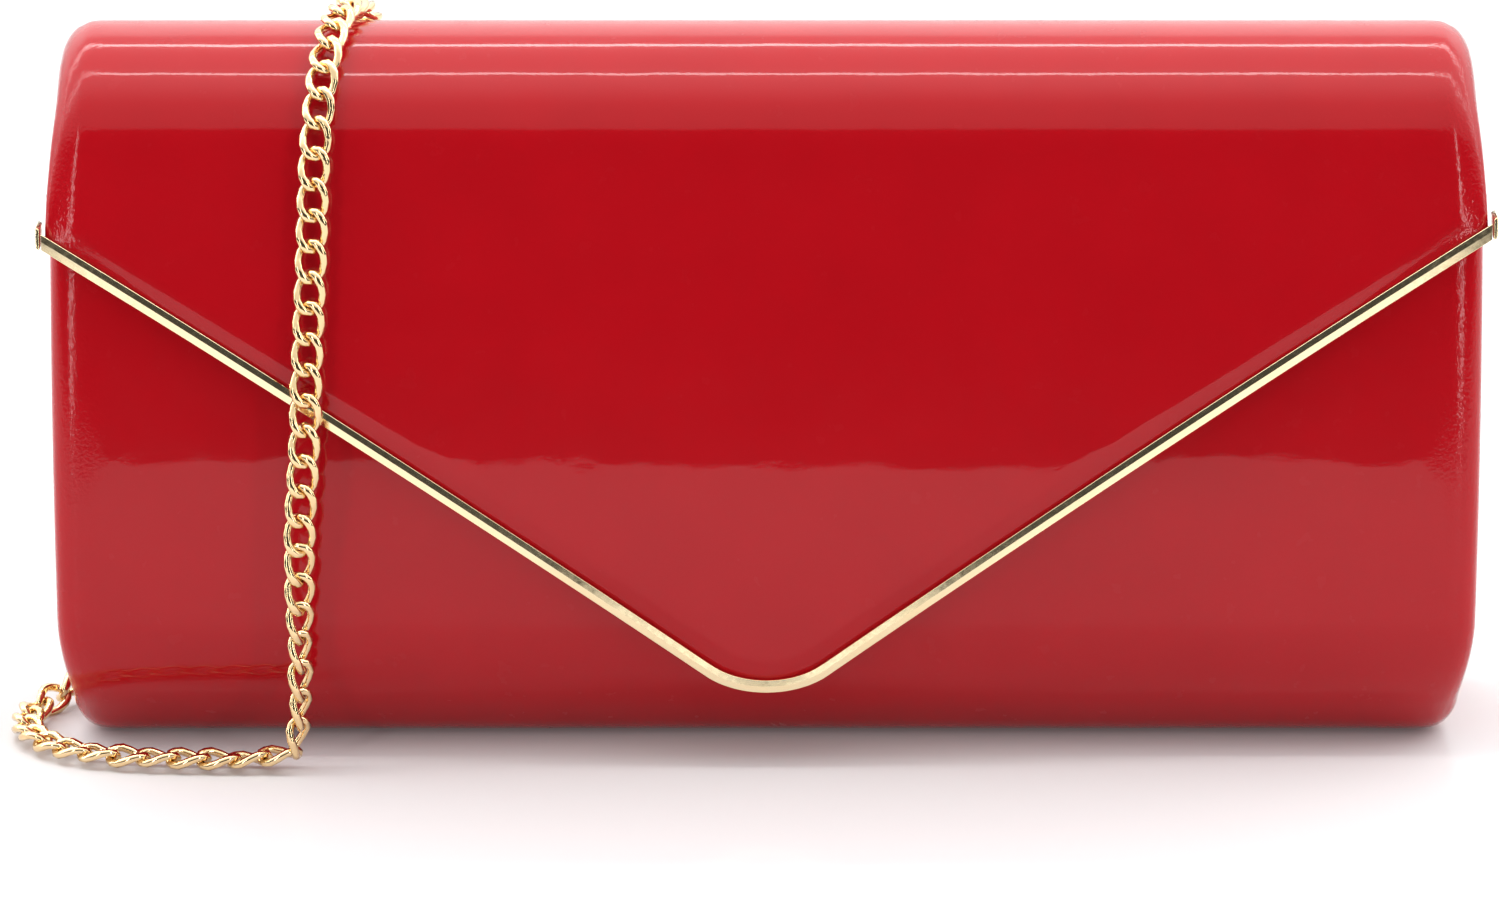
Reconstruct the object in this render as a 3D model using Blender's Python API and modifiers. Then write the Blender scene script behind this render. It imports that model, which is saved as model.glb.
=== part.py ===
"""Patent envelope clutch with a metal-edged V flap and a curb chain strap.

Metres, +Z up. X runs along the bag, the front faces -Y, and the origin is under the middle of the bag on the
surface that it stands on. The bag is one section, drawn in the YZ plane and run along X: covers, boards and
linings are layers of it. The flap's point is cut from its own layers, and the metal rim is cut from the same edge.
Sections and routes are drawn with Y 0 under the middle of the roll, and stand_over_origin moves them at the end.
"""

import math

import bmesh
import bpy
from mathutils import Vector

# Clearances
GAP = 0.0003  # between pieces that touch
SLIDE = 0.0010  # round the snap's nose, so that the flap can swing off it
CHORD = 0.00008  # how far a facet may lie from its arc

# Section of the body
body_length = 0.2600
body_front = 0.0304  # from the middle plane to the foremost line of the front panel
body_back = 0.0240
roll_radius = 0.0240  # outside of the flap where it rolls over the top
roll_height = 0.1086  # of the roll's centre above the ground
front_lean = math.radians(15)  # of the upper front, away from the viewer
front_bulge = 0.278  # radius of the slow curve down the front
low_turn = math.radians(42)  # how far the first of the two lower curves turns
low_start = 0.0160  # height where the lines of that turn meet
low_radius = 0.0300
edge_radius = 0.0140  # second lower curve, into the base
back_radius = 0.0120
mouth_height = roll_height - 0.0016  # top edge of the front panel
fold_height = roll_height - 0.0046  # where the back panel becomes the flap
lean_height = roll_height - 0.0126  # above this the end panels draw in under the roll

# Layers of the body, from outside in
cover = 0.0010
board = 0.0016
washer_space = 0.0012
lining = 0.0006
gusset = 0.0015
gusset_inset = 0.0070  # of the end panels behind the ends of the cover
board_top_front = mouth_height - 0.0040
board_top_back = lean_height - 0.0010
board_split = 0.0290  # height of the joints between the three boards
lining_top = mouth_height - 0.0060

# Pocket inside
pocket_width = 0.1400
pocket_bottom = 0.0300
pocket_top = 0.0850

# Layers of the flap, from outside in, and its clearance from the body
flap_cover = 0.0010
flap_board = 0.0010
flap_lining = 0.0006
flap_clear = 0.0018
flap_stack = flap_cover + GAP + flap_board + GAP + flap_lining
front_stack = flap_stack + flap_clear

# Outline of the flap
point_height = 0.0145  # underside of the rim at the point
point_radius = 0.0196
arm_angle = math.radians(33.66)
arm_rise = 0.0015  # of an arm's middle, over a straight line between its ends
flap_skew = math.radians(0.31)  # the sewn flap sits a little askew
flap_half = body_length / 2 + 0.0011  # at the corners
flap_half_top = body_length / 2 - 0.0003  # over the roll
turned_edge = 0.0014  # of the cover, round the edges of the flap's board and lining

# Metal rim
rim_wall = 0.0008
rim_face = 0.0032
rim_half = body_length / 2 + 0.0014
rim_cap = 0.0007
rim_cap_face = 0.0032

# Magnetic snap
snap_height = 0.0460
cup_radius = 0.0062
cup_wall = 0.0004
flange_radius = 0.0075
flange = 0.0005
hole_radius = 0.0030
nose_radius = hole_radius - SLIDE
nose_height = 0.0006
stud_radius = 0.0065
stud_plate = 0.0004
stem_radius = 0.0012
washer_radius = 0.0080
washer = 0.0005

# Ring tabs, rings and clasps at both ends
ring_wire = 0.0010  # radius
ring_half = 0.0070
ring_drop = 0.0110
ring_tilt = math.radians(10)
ring_height = roll_height - 0.0146
ring_y = 0.0020
tab_wall = 0.0010
tab_width = 0.0100
tab_length = 0.0150
rivet_radius = 0.0022
rivet = 0.0008
clasp_half = 0.0040
clasp_thick = 0.0030
cavity_half = 0.0020
cavity_top = ring_wire + GAP
cavity_bottom = -0.0065
gate_pivot_z = -0.0069
gate_half = 0.0010
gate_length = 0.0052
notch_room = 0.0011  # behind the gate's foot, so that it can turn inwards
eye_z = -0.0148
eye_radius = 0.0024
eye_hole = 0.0012
link_ring_radius = 0.0026
link_ring_wire = 0.0006

# Chain
chain_thick = 0.0044
chain_wide = 0.0063
chain_rest = chain_thick / 2 + 0.0001  # height of its centre on the ground
route_spacing = 0.0105
hank_x = 0.0290
hank_y = 0.0475
hank_run = 0.0720
hank_radius = 0.0130
hank_layers = 3
tie = 0.0006
tie_width = 0.0040

RED = (0.42, 0.010, 0.018)
GOLD = (0.83, 0.62, 0.31)
BOARD = (0.33, 0.27, 0.20)
LINING = (0.055, 0.040, 0.036)
STEEL = (0.55, 0.55, 0.56)
MAGNET = (0.12, 0.12, 0.13)
TIE = (0.75, 0.73, 0.70)


# ---------------------------------------------------------------- sections

def moved_in(corners, inset, closed):
    """The corners of a section with every side moved to the left of travel by inset, and radii to match."""
    count = len(corners)
    lines = []
    for i in range(count if closed else count - 1):
        start, end = Vector(corners[i][:2]), Vector(corners[(i + 1) % count][:2])
        along = (end - start).normalized()
        lines.append((start + Vector((-along.y, along.x)) * inset, along))
    result = []
    for i, (y, z, radius) in enumerate(corners):
        if not closed and i == 0:
            point = lines[0][0]
        elif not closed and i == count - 1:
            start, along = lines[-1]
            point = start + along * (Vector((y, z)) - start).dot(along)
        else:
            (p, u), (q, v) = lines[i - 1], lines[i]
            across = u.x * v.y - u.y * v.x
            gap = q - p
            point = p + u * ((gap.x * v.y - gap.y * v.x) / across)
        result.append((point.x, point.y, max(radius - inset, 0.0)))
    return result


def at_height(point, other, height):
    """Where the line through two points of a section reaches a height."""
    share = (height - point[1]) / (other[1] - point[1])
    return (point[0] + (other[0] - point[0]) * share, height)


def begun_at(points, height):
    """An open section that starts where it first reaches a height."""
    for i, (here, after) in enumerate(zip(points, points[1:])):
        if here[1] != after[1] and min(here[1], after[1]) <= height <= max(here[1], after[1]):
            return [at_height(here, after, height)] + points[i + 1:]
    raise ValueError("the section doesn't reach that height")


def cut_to(points, first, last):
    """An open section between the first place at one height and the last place at another."""
    return begun_at(begun_at(points, first)[::-1], last)[::-1]


def rounded(corners, closed):
    """Points of a section, its corners turned with their radii."""
    points = []
    count = len(corners)
    for i, (y, z, radius) in enumerate(corners):
        here = Vector((y, z))
        if radius == 0.0 or (not closed and i in (0, count - 1)):
            points.append((y, z))
            continue
        back = (Vector(corners[i - 1][:2]) - here).normalized()
        ahead = (Vector(corners[(i + 1) % count][:2]) - here).normalized()
        turn = math.pi - back.angle(ahead)
        centre = here + (back + ahead).normalized() * radius / math.cos(turn / 2)
        spoke = here + back * radius * math.tan(turn / 2) - centre
        side = 1 if back.x * ahead.y - back.y * ahead.x < 0 else -1
        steps = math.ceil(turn / (2 * math.acos(1 - min(CHORD / radius, 0.5))))
        for k in range(steps + 1):
            angle = side * turn * k / steps
            points.append((
                centre.x + spoke.x * math.cos(angle) - spoke.y * math.sin(angle),
                centre.y + spoke.x * math.sin(angle) + spoke.y * math.cos(angle),
            ))
    return points


def front_corner(front, radius, level):
    """Where the leaning front line, tangent to the roll, meets the upright front line (level None) or a height."""
    cosine, sine = math.cos(front_lean), math.sin(front_lean)
    if level is None:
        return (-front, roll_height + (radius - front * cosine) / sine, front_bulge)
    return (-(radius - (level - roll_height) * sine) / cosine, level, radius)


def base_corners(front):
    """The two lower front corners, the flat base and the lower back corner."""
    reach = low_start * math.tan(low_turn)
    return [
        (-front, low_start, low_radius),
        (-front + reach, 0.0, edge_radius),
        (body_back, 0.0, back_radius),
    ]


def body_corners():
    """The closed section of the body, from the roll down the front, under and up the back."""
    radius = roll_radius - front_stack
    top = roll_height + radius
    away = Vector((-body_back, roll_height - lean_height))
    slope = math.atan2(away.y, away.x) - math.asin(radius / away.length)
    lean_end = body_back + (top - lean_height) / math.tan(slope)
    return [
        front_corner(body_front, radius, top),
        front_corner(body_front, radius, None),
        *base_corners(body_front),
        (body_back, lean_height, 0.004),
        (lean_end, top, radius),
    ]


def cover_corners():
    """The body's section with an upright back, open at the top, as its cover runs."""
    corners = body_corners()
    return corners[:5] + [(body_back, roll_height, 0.0)]


def flap_corners():
    """The flap's outer section, up the back, over the roll and down the front."""
    front = body_front + front_stack
    top = roll_height + roll_radius
    return [
        (body_back, 0.0, 0.0),
        (body_back, top, roll_radius),
        front_corner(front, roll_radius, top),
        front_corner(front, roll_radius, None),
        (-front, 0.0, 0.0),
    ]


def layer(corners, inset, thick, first, last):
    """The closed outline of one layer of an open section, between two heights."""
    outer = cut_to(rounded(moved_in(corners, inset, False), False), first, last)
    inner = cut_to(rounded(moved_in(corners, inset + thick, False), False), first, last)
    return outer + inner[::-1]


def depth_at(points, height):
    """The foremost place of a section at a height."""
    found = []
    for (y0, z0), (y1, z1) in zip(points, points[1:]):
        if min(z0, z1) <= height <= max(z0, z1) and z0 != z1:
            found.append(y0 + (y1 - y0) * (height - z0) / (z1 - z0))
    return min(found)


# ---------------------------------------------------------------- the flap's V edge

def height_on_front(run):
    """The height of a place on the flap's front, given how far up its surface it lies."""
    points = rounded(flap_corners(), False)[::-1]
    for (y0, z0), (y1, z1) in zip(points, points[1:]):
        length = math.hypot(y1 - y0, z1 - z0)
        if run <= length:
            return z0 + (z1 - z0) * run / length
        run -= length
    raise ValueError("the flap's arms reach past its surface")


def v_edge(grow, reach):
    """Points of the V edge from left to right, grown outwards, in X and Z."""
    centre_run = point_height + point_radius
    radius = point_radius + grow
    turns = [-arm_angle + 2 * arm_angle * k / 14 + flap_skew for k in range(15)]
    flat = [(radius * math.sin(a), centre_run - radius * math.cos(a)) for a in turns]
    for end, side, angle in ((0, -1, turns[0]), (-1, 1, turns[-1])):
        x, run = flat[end]
        arm = [(x + (side * reach - x) * k / 12, k / 12) for k in range(1, 13)]
        arm = [(px, run + abs(px - x) * abs(math.tan(angle))) for px, _ in arm]
        flat = arm[::-1] + flat if side < 0 else flat + arm
    return [(x, height_on_front(run + arm_bow(abs(x)))) for x, run in flat]


def arm_bow(x):
    """How far an arm of the V stands above its straight line, a distance from the middle."""
    start = point_radius * math.sin(arm_angle)
    share = max(0.0, (x - start) / (rim_half - start))
    return 4 * arm_rise * share * (1 - share)


def v_outline(grow, half, half_top):
    """The flap's outline in X and Z, with room above it."""
    edge = v_edge(grow, half)
    above = roll_height + 2 * roll_radius
    return edge + [(half_top, roll_height), (half_top, above), (-half_top, above), (-half_top, roll_height)]


# ---------------------------------------------------------------- objects

def clear_scene():
    for old in list(bpy.data.objects):
        bpy.data.objects.remove(old, do_unlink=True)


def new_collection(name):
    group = bpy.data.collections.new(name)
    bpy.context.scene.collection.children.link(group)
    return group


def finish_colour(name, colour, roughness, metallic):
    material = bpy.data.materials.new(name)
    material.use_nodes = True
    shader = material.node_tree.nodes["Principled BSDF"]
    shader.inputs["Base Color"].default_value = (*colour, 1.0)
    shader.inputs["Roughness"].default_value = roughness
    shader.inputs["Metallic"].default_value = metallic
    return material


FINISHES = {
    "patent": (RED, 0.08, 0.0),
    "gold": (GOLD, 0.18, 1.0),
    "board": (BOARD, 0.85, 0.0),
    "lining": (LINING, 0.75, 0.0),
    "steel": (STEEL, 0.35, 1.0),
    "magnet": (MAGNET, 0.40, 1.0),
    "tie": (TIE, 0.60, 0.0),
}


def place(name, mesh, finish):
    """A part of the bag, in its collection, with a material of its own. No finish makes it a cutter."""
    thing = bpy.data.objects.new(name, mesh)
    if finish is None:
        cutters.objects.link(thing)
        thing.hide_render = True
        thing.display_type = "WIRE"
        return thing
    clutch.objects.link(thing)
    thing.data.materials.append(finish_colour(name, *FINISHES[finish]))
    return thing


def mesh_of(name, bm):
    bmesh.ops.recalc_face_normals(bm, faces=bm.faces)
    mesh = bpy.data.meshes.new(name)
    bm.to_mesh(mesh)
    bm.free()
    return mesh


def run_along(name, outline, low, high, axis, finish):
    """A flat outline run along X, where it is in Y and Z, or along Y, where it is in X and Z."""
    bm = bmesh.new()
    if axis == "X":
        corners = [bm.verts.new((low, a, b)) for a, b in outline]
        way = Vector((high - low, 0, 0))
    else:
        corners = [bm.verts.new((a, low, b)) for a, b in outline]
        way = Vector((0, high - low, 0))
    face = bm.faces.new(corners)
    moved = bmesh.ops.extrude_face_region(bm, geom=[face])["geom"]
    bmesh.ops.translate(bm, vec=way, verts=[v for v in moved if isinstance(v, bmesh.types.BMVert)])
    return place(name, mesh_of(name, bm), finish)


def block(name, low, high, finish):
    """A box between two corners."""
    outline = [(low[1], low[2]), (high[1], low[2]), (high[1], high[2]), (low[1], high[2])]
    return run_along(name, outline, low[0], high[0], "X", finish)


def round_bar(name, radius, length, centre, turn, finish, sides=32):
    """A cylinder about its own Z, turned and placed."""
    bm = bmesh.new()
    bmesh.ops.create_cone(
        bm, cap_ends=True, segments=sides, radius1=radius, radius2=radius, depth=length
    )
    bar = place(name, mesh_of(name, bm), finish)
    bar.location = centre
    bar.rotation_euler = turn
    return bar


def turned(name, profile, centre, turn, finish):
    """A ring or stud turned about its own Z. The profile gives radius and height, down its outer side."""
    mesh = bpy.data.meshes.new(name)
    closed = profile[0][0] > 0
    count = len(profile)
    edges = [(i, (i + 1) % count) for i in range(count if closed else count - 1)]
    mesh.from_pydata([(radius, 0, height) for radius, height in profile], edges, [])
    thing = place(name, mesh, finish)
    thing.location = centre
    thing.rotation_euler = turn
    screw = thing.modifiers.new("turn", "SCREW")
    screw.steps = 32
    screw.render_steps = 32
    screw.use_merge_vertices = True
    screw.merge_threshold = 0.00001
    return thing


def wire(name, points, radius, cyclic, finish):
    """A round wire or cord through points."""
    curve = bpy.data.curves.new(name, "CURVE")
    curve.dimensions = "3D"
    curve.bevel_depth = radius
    curve.bevel_resolution = 2
    curve.use_fill_caps = not cyclic
    spline = curve.splines.new("POLY")
    spline.points.add(len(points) - 1)
    for point, place_at in zip(spline.points, points):
        point.co = (*place_at, 1.0)
    spline.use_cyclic_u = cyclic
    return place(name, curve, finish)


def boolean(thing, operation, other, solver="EXACT"):
    step = thing.modifiers.new(operation.lower() + " " + other.name, "BOOLEAN")
    step.operation = operation
    step.object = other
    step.solver = solver
    return thing


def boolean_v(thing, operation, other):
    """A cut by the V edge. Its arms are so nearly straight that the exact solver loses them."""
    return boolean(thing, operation, other, "MANIFOLD")


# ---------------------------------------------------------------- body

def make_body():
    """Cover, three boards, two end panels, lining, pocket and the strip inside the fold."""
    half = body_length / 2
    ends = half - gusset_inset
    corners = cover_corners()
    outline = layer(corners, 0.0, cover, mouth_height, fold_height - GAP)
    panel = run_along("body_cover", outline, -half, half, "X", "patent")
    inside = ends - gusset - GAP
    board_in = cover + GAP
    front = layer(corners, board_in, board, board_top_front, board_top_back)
    split = board_split
    boards = {}
    for name, y_low, y_high, z_low, z_high in (
        ("front_board", -1, 0, split + GAP, 1),
        ("base_board", -1, 1, -1, split),
        ("back_board", 0, 1, split + GAP, 1),
    ):
        boards[name] = run_along(name, front, -inside, inside, "X", "board")
        room = block(name + "_room", (-1, y_low, z_low), (1, y_high, z_high), None)
        boolean(boards[name], "INTERSECT", room)
    closed = rounded(moved_in(body_corners(), board_in, True), True)
    for side, name in ((-1, "left_gusset"), (1, "right_gusset")):
        low, high = sorted((side * ends, side * (ends - gusset)))
        run_along(name, closed, low, high, "X", "patent")
    lining_in = board_in + board + washer_space
    wall = rounded(moved_in(body_corners(), lining_in, False), False)
    bag = run_along("body_lining", cut_to(wall, lining_top, lining_top), -inside, inside, "X", "lining")
    wall = rounded(moved_in(body_corners(), lining_in + lining, False), False)
    room = cut_to(wall, lining_top + cover, lining_top + cover)
    hollow = run_along("lining_hollow", room, lining - inside, inside - lining, "X", None)
    boolean(bag, "DIFFERENCE", hollow)
    pocket_y = body_back - lining_in - lining - GAP
    low = (-pocket_width / 2, pocket_y - lining, pocket_bottom)
    block("slip_pocket", low, (pocket_width / 2, pocket_y, pocket_top), "lining")
    strip_y = body_back - cover - washer_space
    low = (-inside, strip_y - lining, board_top_back + 2 * GAP)
    block("fold_strip", low, (inside, strip_y, fold_height - GAP), "lining")
    return panel, boards["front_board"]


# ---------------------------------------------------------------- flap

def make_flap():
    """Three layers cut to the V, and the metal rim with its two end caps."""
    corners = flap_corners()
    edge_in = -rim_wall - GAP
    outline = v_outline(edge_in, flap_half, flap_half_top)
    shape = run_along("flap_shape", outline, -0.1, 0.1, "Y", None)
    turn = turned_edge
    outline = v_outline(edge_in - turn, flap_half - turn, flap_half_top - turn)
    inner_shape = run_along("flap_inner_shape", outline, -0.1, 0.1, "Y", None)
    half = flap_half + 0.002
    layers = {}
    inset = 0.0
    for name, thick, finish in (
        ("flap_cover", flap_cover, "patent"),
        ("flap_board", flap_board, "board"),
        ("flap_lining", flap_lining, "lining"),
    ):
        outline = layer(corners, inset, thick, fold_height, 0.004)
        layers[name] = run_along(name, outline, -half, half, "X", finish)
        boolean_v(layers[name], "INTERSECT", shape if name == "flap_cover" else inner_shape)
        inset += thick + GAP
    out = GAP + rim_wall
    reach = rim_half + 0.006
    thick = layer(corners, -out, flap_stack + 2 * out, fold_height + 0.010, 0.004)
    whole = run_along("rim_shape", v_outline(0.0, reach, reach), -0.1, 0.1, "Y", None)
    open_in = run_along("rim_opening", v_outline(-rim_face, reach, reach), -0.2, 0.2, "Y", None)
    slot_shape = run_along("rim_slot_shape", v_outline(-rim_wall, reach, reach), -0.2, 0.2, "Y", None)
    slot_layer = layer(corners, -GAP, flap_stack + 2 * GAP, fold_height + 0.008, 0.002)
    slot = run_along("rim_slot", slot_layer, -reach, reach, "X", None)
    boolean_v(slot, "INTERSECT", slot_shape)
    rim = run_along("flap_rim", thick, -rim_half, rim_half, "X", "gold")
    boolean_v(rim, "INTERSECT", whole)
    boolean_v(rim, "DIFFERENCE", open_in)
    boolean_v(rim, "DIFFERENCE", slot)
    cap_in = run_along("cap_opening", v_outline(-rim_cap_face, reach, reach), -0.2, 0.2, "Y", None)
    for side, name in ((-1, "rim_end_left"), (1, "rim_end_right")):
        low, high = sorted((side * (rim_half + GAP), side * (rim_half + GAP + rim_cap)))
        cap = run_along(name, thick, low, high, "X", "gold")
        boolean_v(cap, "INTERSECT", whole)
        boolean_v(cap, "DIFFERENCE", cap_in)
    return layers


# ---------------------------------------------------------------- magnetic snap

def make_snap(panel, front_board, layers):
    """Cup, magnet and washer in the front panel; stud and washer in the flap. Heights are from the panel, outwards."""
    points = cut_to(rounded(cover_corners(), False), mouth_height, fold_height)
    step = 0.002
    above, below = depth_at(points, snap_height + step), depth_at(points, snap_height - step)
    lean = math.atan2(above - below, 2 * step)
    centre = Vector((0, depth_at(points, snap_height), snap_height))
    turn = (math.pi / 2 - lean, 0, 0)
    outward = Vector((0, -math.cos(lean), math.sin(lean)))
    face = GAP + flange
    back = -(cover + GAP + board)
    cup = [
        (flange_radius, face), (flange_radius, GAP), (cup_radius, GAP), (cup_radius, back + GAP),
        (cup_radius - cup_wall, back + GAP), (cup_radius - cup_wall, GAP), (hole_radius, GAP),
        (hole_radius, face),
    ]
    turned("snap_cup", cup, centre, turn, "gold")
    inner = cup_radius - cup_wall - GAP
    magnet = [(inner, 0.0), (inner, back + GAP), (hole_radius, back + GAP), (hole_radius, 0.0)]
    turned("snap_magnet", magnet, centre, turn, "magnet")
    plate = [
        (washer_radius, back - GAP), (washer_radius, back - GAP - washer),
        (stem_radius, back - GAP - washer), (stem_radius, back - GAP),
    ]
    turned("snap_cup_washer", plate, centre, turn, "steel")
    under = flap_clear
    tip = GAP + flange + GAP
    seat = under + flap_lining + GAP
    stud = [
        (0, seat + washer), (stem_radius, seat + washer), (stem_radius, tip + stud_plate),
        (stud_radius, tip + stud_plate), (stud_radius, tip), (nose_radius, tip),
        (nose_radius, tip - nose_height), (0, tip - nose_height),
    ]
    turned("snap_stud", stud, centre, turn, "gold")
    hold = [
        (stud_radius - GAP, seat + washer), (stud_radius - GAP, seat), (stem_radius + GAP, seat),
        (stem_radius + GAP, seat + washer),
    ]
    turned("snap_stud_washer", hold, centre, turn, "steel")
    bore = round_bar("cup_bore", cup_radius + GAP, 0.008, centre, turn, None)
    boolean(panel, "DIFFERENCE", bore)
    boolean(front_board, "DIFFERENCE", bore)
    stem_at = centre + outward * (under + flap_lining / 2)
    stem = round_bar("stem_bore", stem_radius + GAP, 0.002, stem_at, turn, None, 16)
    boolean_v(layers["flap_lining"], "DIFFERENCE", stem)
    well_at = centre + outward * (seat + flap_board / 2)
    well = round_bar("washer_well", stud_radius, 0.003, well_at, turn, None)
    boolean_v(layers["flap_board"], "DIFFERENCE", well)


# ---------------------------------------------------------------- rings and clasps

def sideways(side, across):
    """X of a place that lies a distance from the middle, on one side of the bag."""
    return side * across


def make_end(side, word):
    """Tab, rivet, D-ring, clasp, its gate and the small ring that takes the chain, at one end of the bag."""
    face = body_length / 2 - gusset_inset + GAP
    loop = ring_wire + GAP + tab_wall
    across = face + loop
    upright = (math.pi / 2, 0, 0)
    closing = 2 * math.pi + math.acos(tab_wall / loop - 1)
    round_end = [math.pi + (closing - math.pi) * k / 20 for k in range(21)]
    strap = [(0, tab_length)] + [(loop + loop * math.cos(a), loop * math.sin(a)) for a in round_end]
    strap = [(sideways(side, face + x), ring_height + z) for x, z in strap + [(tab_wall, tab_length)]]
    half = tab_width / 2
    tab = run_along("ring_tab_" + word, strap, ring_y - half, ring_y + half, "Y", "patent")
    centre = (sideways(side, across), ring_y, ring_height)
    eye = round_bar("loop_eye_" + word, ring_wire + GAP, 2 * tab_width, centre, upright, None, 24)
    boolean(tab, "DIFFERENCE", eye)
    rivet_at = (sideways(side, face + tab_wall + GAP + rivet / 2), ring_y, ring_height + 0.7 * tab_length)
    round_bar("tab_rivet_" + word, rivet_radius, rivet, rivet_at, (0, math.pi / 2, 0), "gold", 20)

    lean = math.sin(ring_tilt)
    drop = math.cos(ring_tilt)
    bend = [(-math.cos(math.pi * k / 14), math.sin(math.pi * k / 14)) for k in range(15)]
    outline = [(ring_half * a, ring_drop * b) for a, b in bend]
    line = [
        (sideways(side, across + d * lean), ring_y + a, ring_height - d * drop) for a, d in outline
    ]
    wire("d_ring_" + word, line, ring_wire, True, "gold")

    hang_x = across + ring_drop * lean
    hang_z = ring_height - ring_drop * drop

    def flat(name, corners, thick, finish):
        closed = rounded(corners, True)
        outline = [(sideways(side, hang_x + x), hang_z + z) for x, z in closed]
        return run_along(name, outline, ring_y - thick / 2, ring_y + thick / 2, "Y", finish)

    top = cavity_top + clasp_half - cavity_half
    outer = [
        (clasp_half, top, clasp_half - GAP), (-clasp_half, top, clasp_half - GAP),
        (-clasp_half, gate_pivot_z - 0.002, 0.003),
        (-eye_radius, eye_z - eye_radius, eye_radius - GAP), (eye_radius, eye_z - eye_radius, eye_radius - GAP),
        (clasp_half, gate_pivot_z - 0.002, 0.003),
    ]
    claw = flat("clasp_" + word, outer, clasp_thick, "gold")
    cavity = [
        (cavity_half, cavity_top, cavity_half - GAP), (-cavity_half, cavity_top, cavity_half - GAP),
        (-cavity_half, cavity_bottom, cavity_half - GAP), (cavity_half, cavity_bottom, cavity_half - GAP),
    ]
    boolean(claw, "DIFFERENCE", flat("clasp_cavity_" + word, cavity, 2 * clasp_thick, None))
    gate_top = gate_pivot_z + gate_length
    gate_foot = gate_pivot_z - gate_half
    notch_in = cavity_half - notch_room
    notch = [
        (2 * clasp_half, gate_top + GAP, 0), (notch_in, gate_top + GAP, 0),
        (notch_in, gate_foot - GAP, 0), (2 * clasp_half, gate_foot - GAP, 0),
    ]
    boolean(claw, "DIFFERENCE", flat("clasp_notch_" + word, notch, 2 * clasp_thick, None))
    eye_at = (sideways(side, hang_x), ring_y, hang_z + eye_z)
    boolean(claw, "DIFFERENCE", round_bar("clasp_eye_" + word, eye_hole, 0.01, eye_at, upright, None, 16))
    mid = clasp_half - gate_half
    gate = [
        (mid + gate_half, gate_top, 0.0004), (mid - gate_half, gate_top, 0.0004),
        (mid - gate_half, gate_foot, gate_half - 0.00002), (mid + gate_half, gate_foot, gate_half - 0.00002),
    ]
    lever = flat("clasp_gate_" + word, gate, clasp_thick, "gold")
    grip_at = (sideways(side, hang_x + clasp_half), ring_y, hang_z + gate_pivot_z + 0.45 * gate_length)
    grip = round_bar("gate_grip_" + word, 0.0006, 0.6 * clasp_thick, grip_at, upright, None, 12)
    boolean(lever, "UNION", grip)
    turns = [2 * math.pi * k / 20 for k in range(20)]
    low_ring = hang_z + eye_z - link_ring_radius
    circle = [
        (
            sideways(side, hang_x),
            ring_y + link_ring_radius * math.sin(a),
            low_ring + link_ring_radius * math.cos(a),
        )
        for a in turns
    ]
    wire("link_ring_" + word, circle, link_ring_wire, True, "gold")
    return Vector((sideways(side, hang_x), ring_y, low_ring - link_ring_radius - link_ring_wire - GAP))


# ---------------------------------------------------------------- chain

def smooth(points, spacing):
    """A smooth curve through the route's points, read off at even steps."""
    points = [Vector(p) for p in points]
    ends = [2 * points[0] - points[1]] + points + [2 * points[-1] - points[-2]]
    fine = []
    for a, b, c, d in zip(ends, ends[1:], ends[2:], ends[3:]):
        for k in range(20):
            t = k / 20
            fine.append(0.5 * (
                2 * b + (c - a) * t + (2 * a - 5 * b + 4 * c - d) * t * t
                + (3 * b - a - 3 * c + d) * t * t * t
            ))
    fine.append(points[-1])
    length = sum((q - p).length for p, q in zip(fine, fine[1:]))
    count = round(length / spacing)
    wanted = [length * k / count for k in range(count + 1)]
    result, run, at = [], 0.0, 0
    for target in wanted:
        while at < len(fine) - 2 and run + (fine[at + 1] - fine[at]).length < target:
            run += (fine[at + 1] - fine[at]).length
            at += 1
        piece = fine[at + 1] - fine[at]
        share = min(1.0, (target - run) / piece.length)
        result.append(fine[at] + piece * share)
    return result


# Routes of the chain's centre line. X, Y, Z.
LEFT_ROUTE = [
    (-0.1276, 0.0020, 0.0540), (-0.1276, 0.0022, 0.0380), (-0.1275, 0.0027, 0.0230), (-0.1276, 0.0031, 0.0130),
    (-0.1286, 0.0030, 0.0076), (-0.1308, 0.0021, 0.0046), (-0.1336, 0.0000, 0.0028), (-0.1364, -0.0038, 0.0023),
    (-0.1383, -0.0096, 0.0023), (-0.1384, -0.0162, 0.0023), (-0.1364, -0.0226, 0.0023),
    (-0.1318, -0.0288, 0.0023), (-0.1256, -0.0328, 0.0023), (-0.1160, -0.0354, 0.0023),
    (-0.1060, -0.0363, 0.0023), (-0.0980, -0.0366, 0.0023), (-0.0915, -0.0367, 0.0025),
]
FRONT_ROUTE = [
    (-0.0868, -0.0368, 0.0040), (-0.0856, -0.0372, 0.0095), (-0.0853, -0.0376, 0.0200), (-0.0851, -0.0380, 0.0350),
    (-0.0848, -0.0382, 0.0480),
]
OVER_X = [(-0.0839, 0.0600), (-0.0831, 0.0780), (-0.0823, 0.0960), (-0.0817, 0.1130)]
ROLL_X = [(-0.0810, 150), (-0.0798, 122), (-0.0777, 95), (-0.0752, 65), (-0.0730, 35), (-0.0711, 5)]
BACK_ROUTE = [
    (-0.0685, 0.0266, 0.0940), (-0.0650, 0.0266, 0.0740), (-0.0610, 0.0266, 0.0520), (-0.0570, 0.0267, 0.0310),
    (-0.0540, 0.0275, 0.0150), (-0.0510, 0.0300, 0.0062), (-0.0455, 0.0335, 0.0026), (-0.0350, 0.0348, 0.0024),
    (-0.0197, 0.0345, 0.0026),
]
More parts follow.
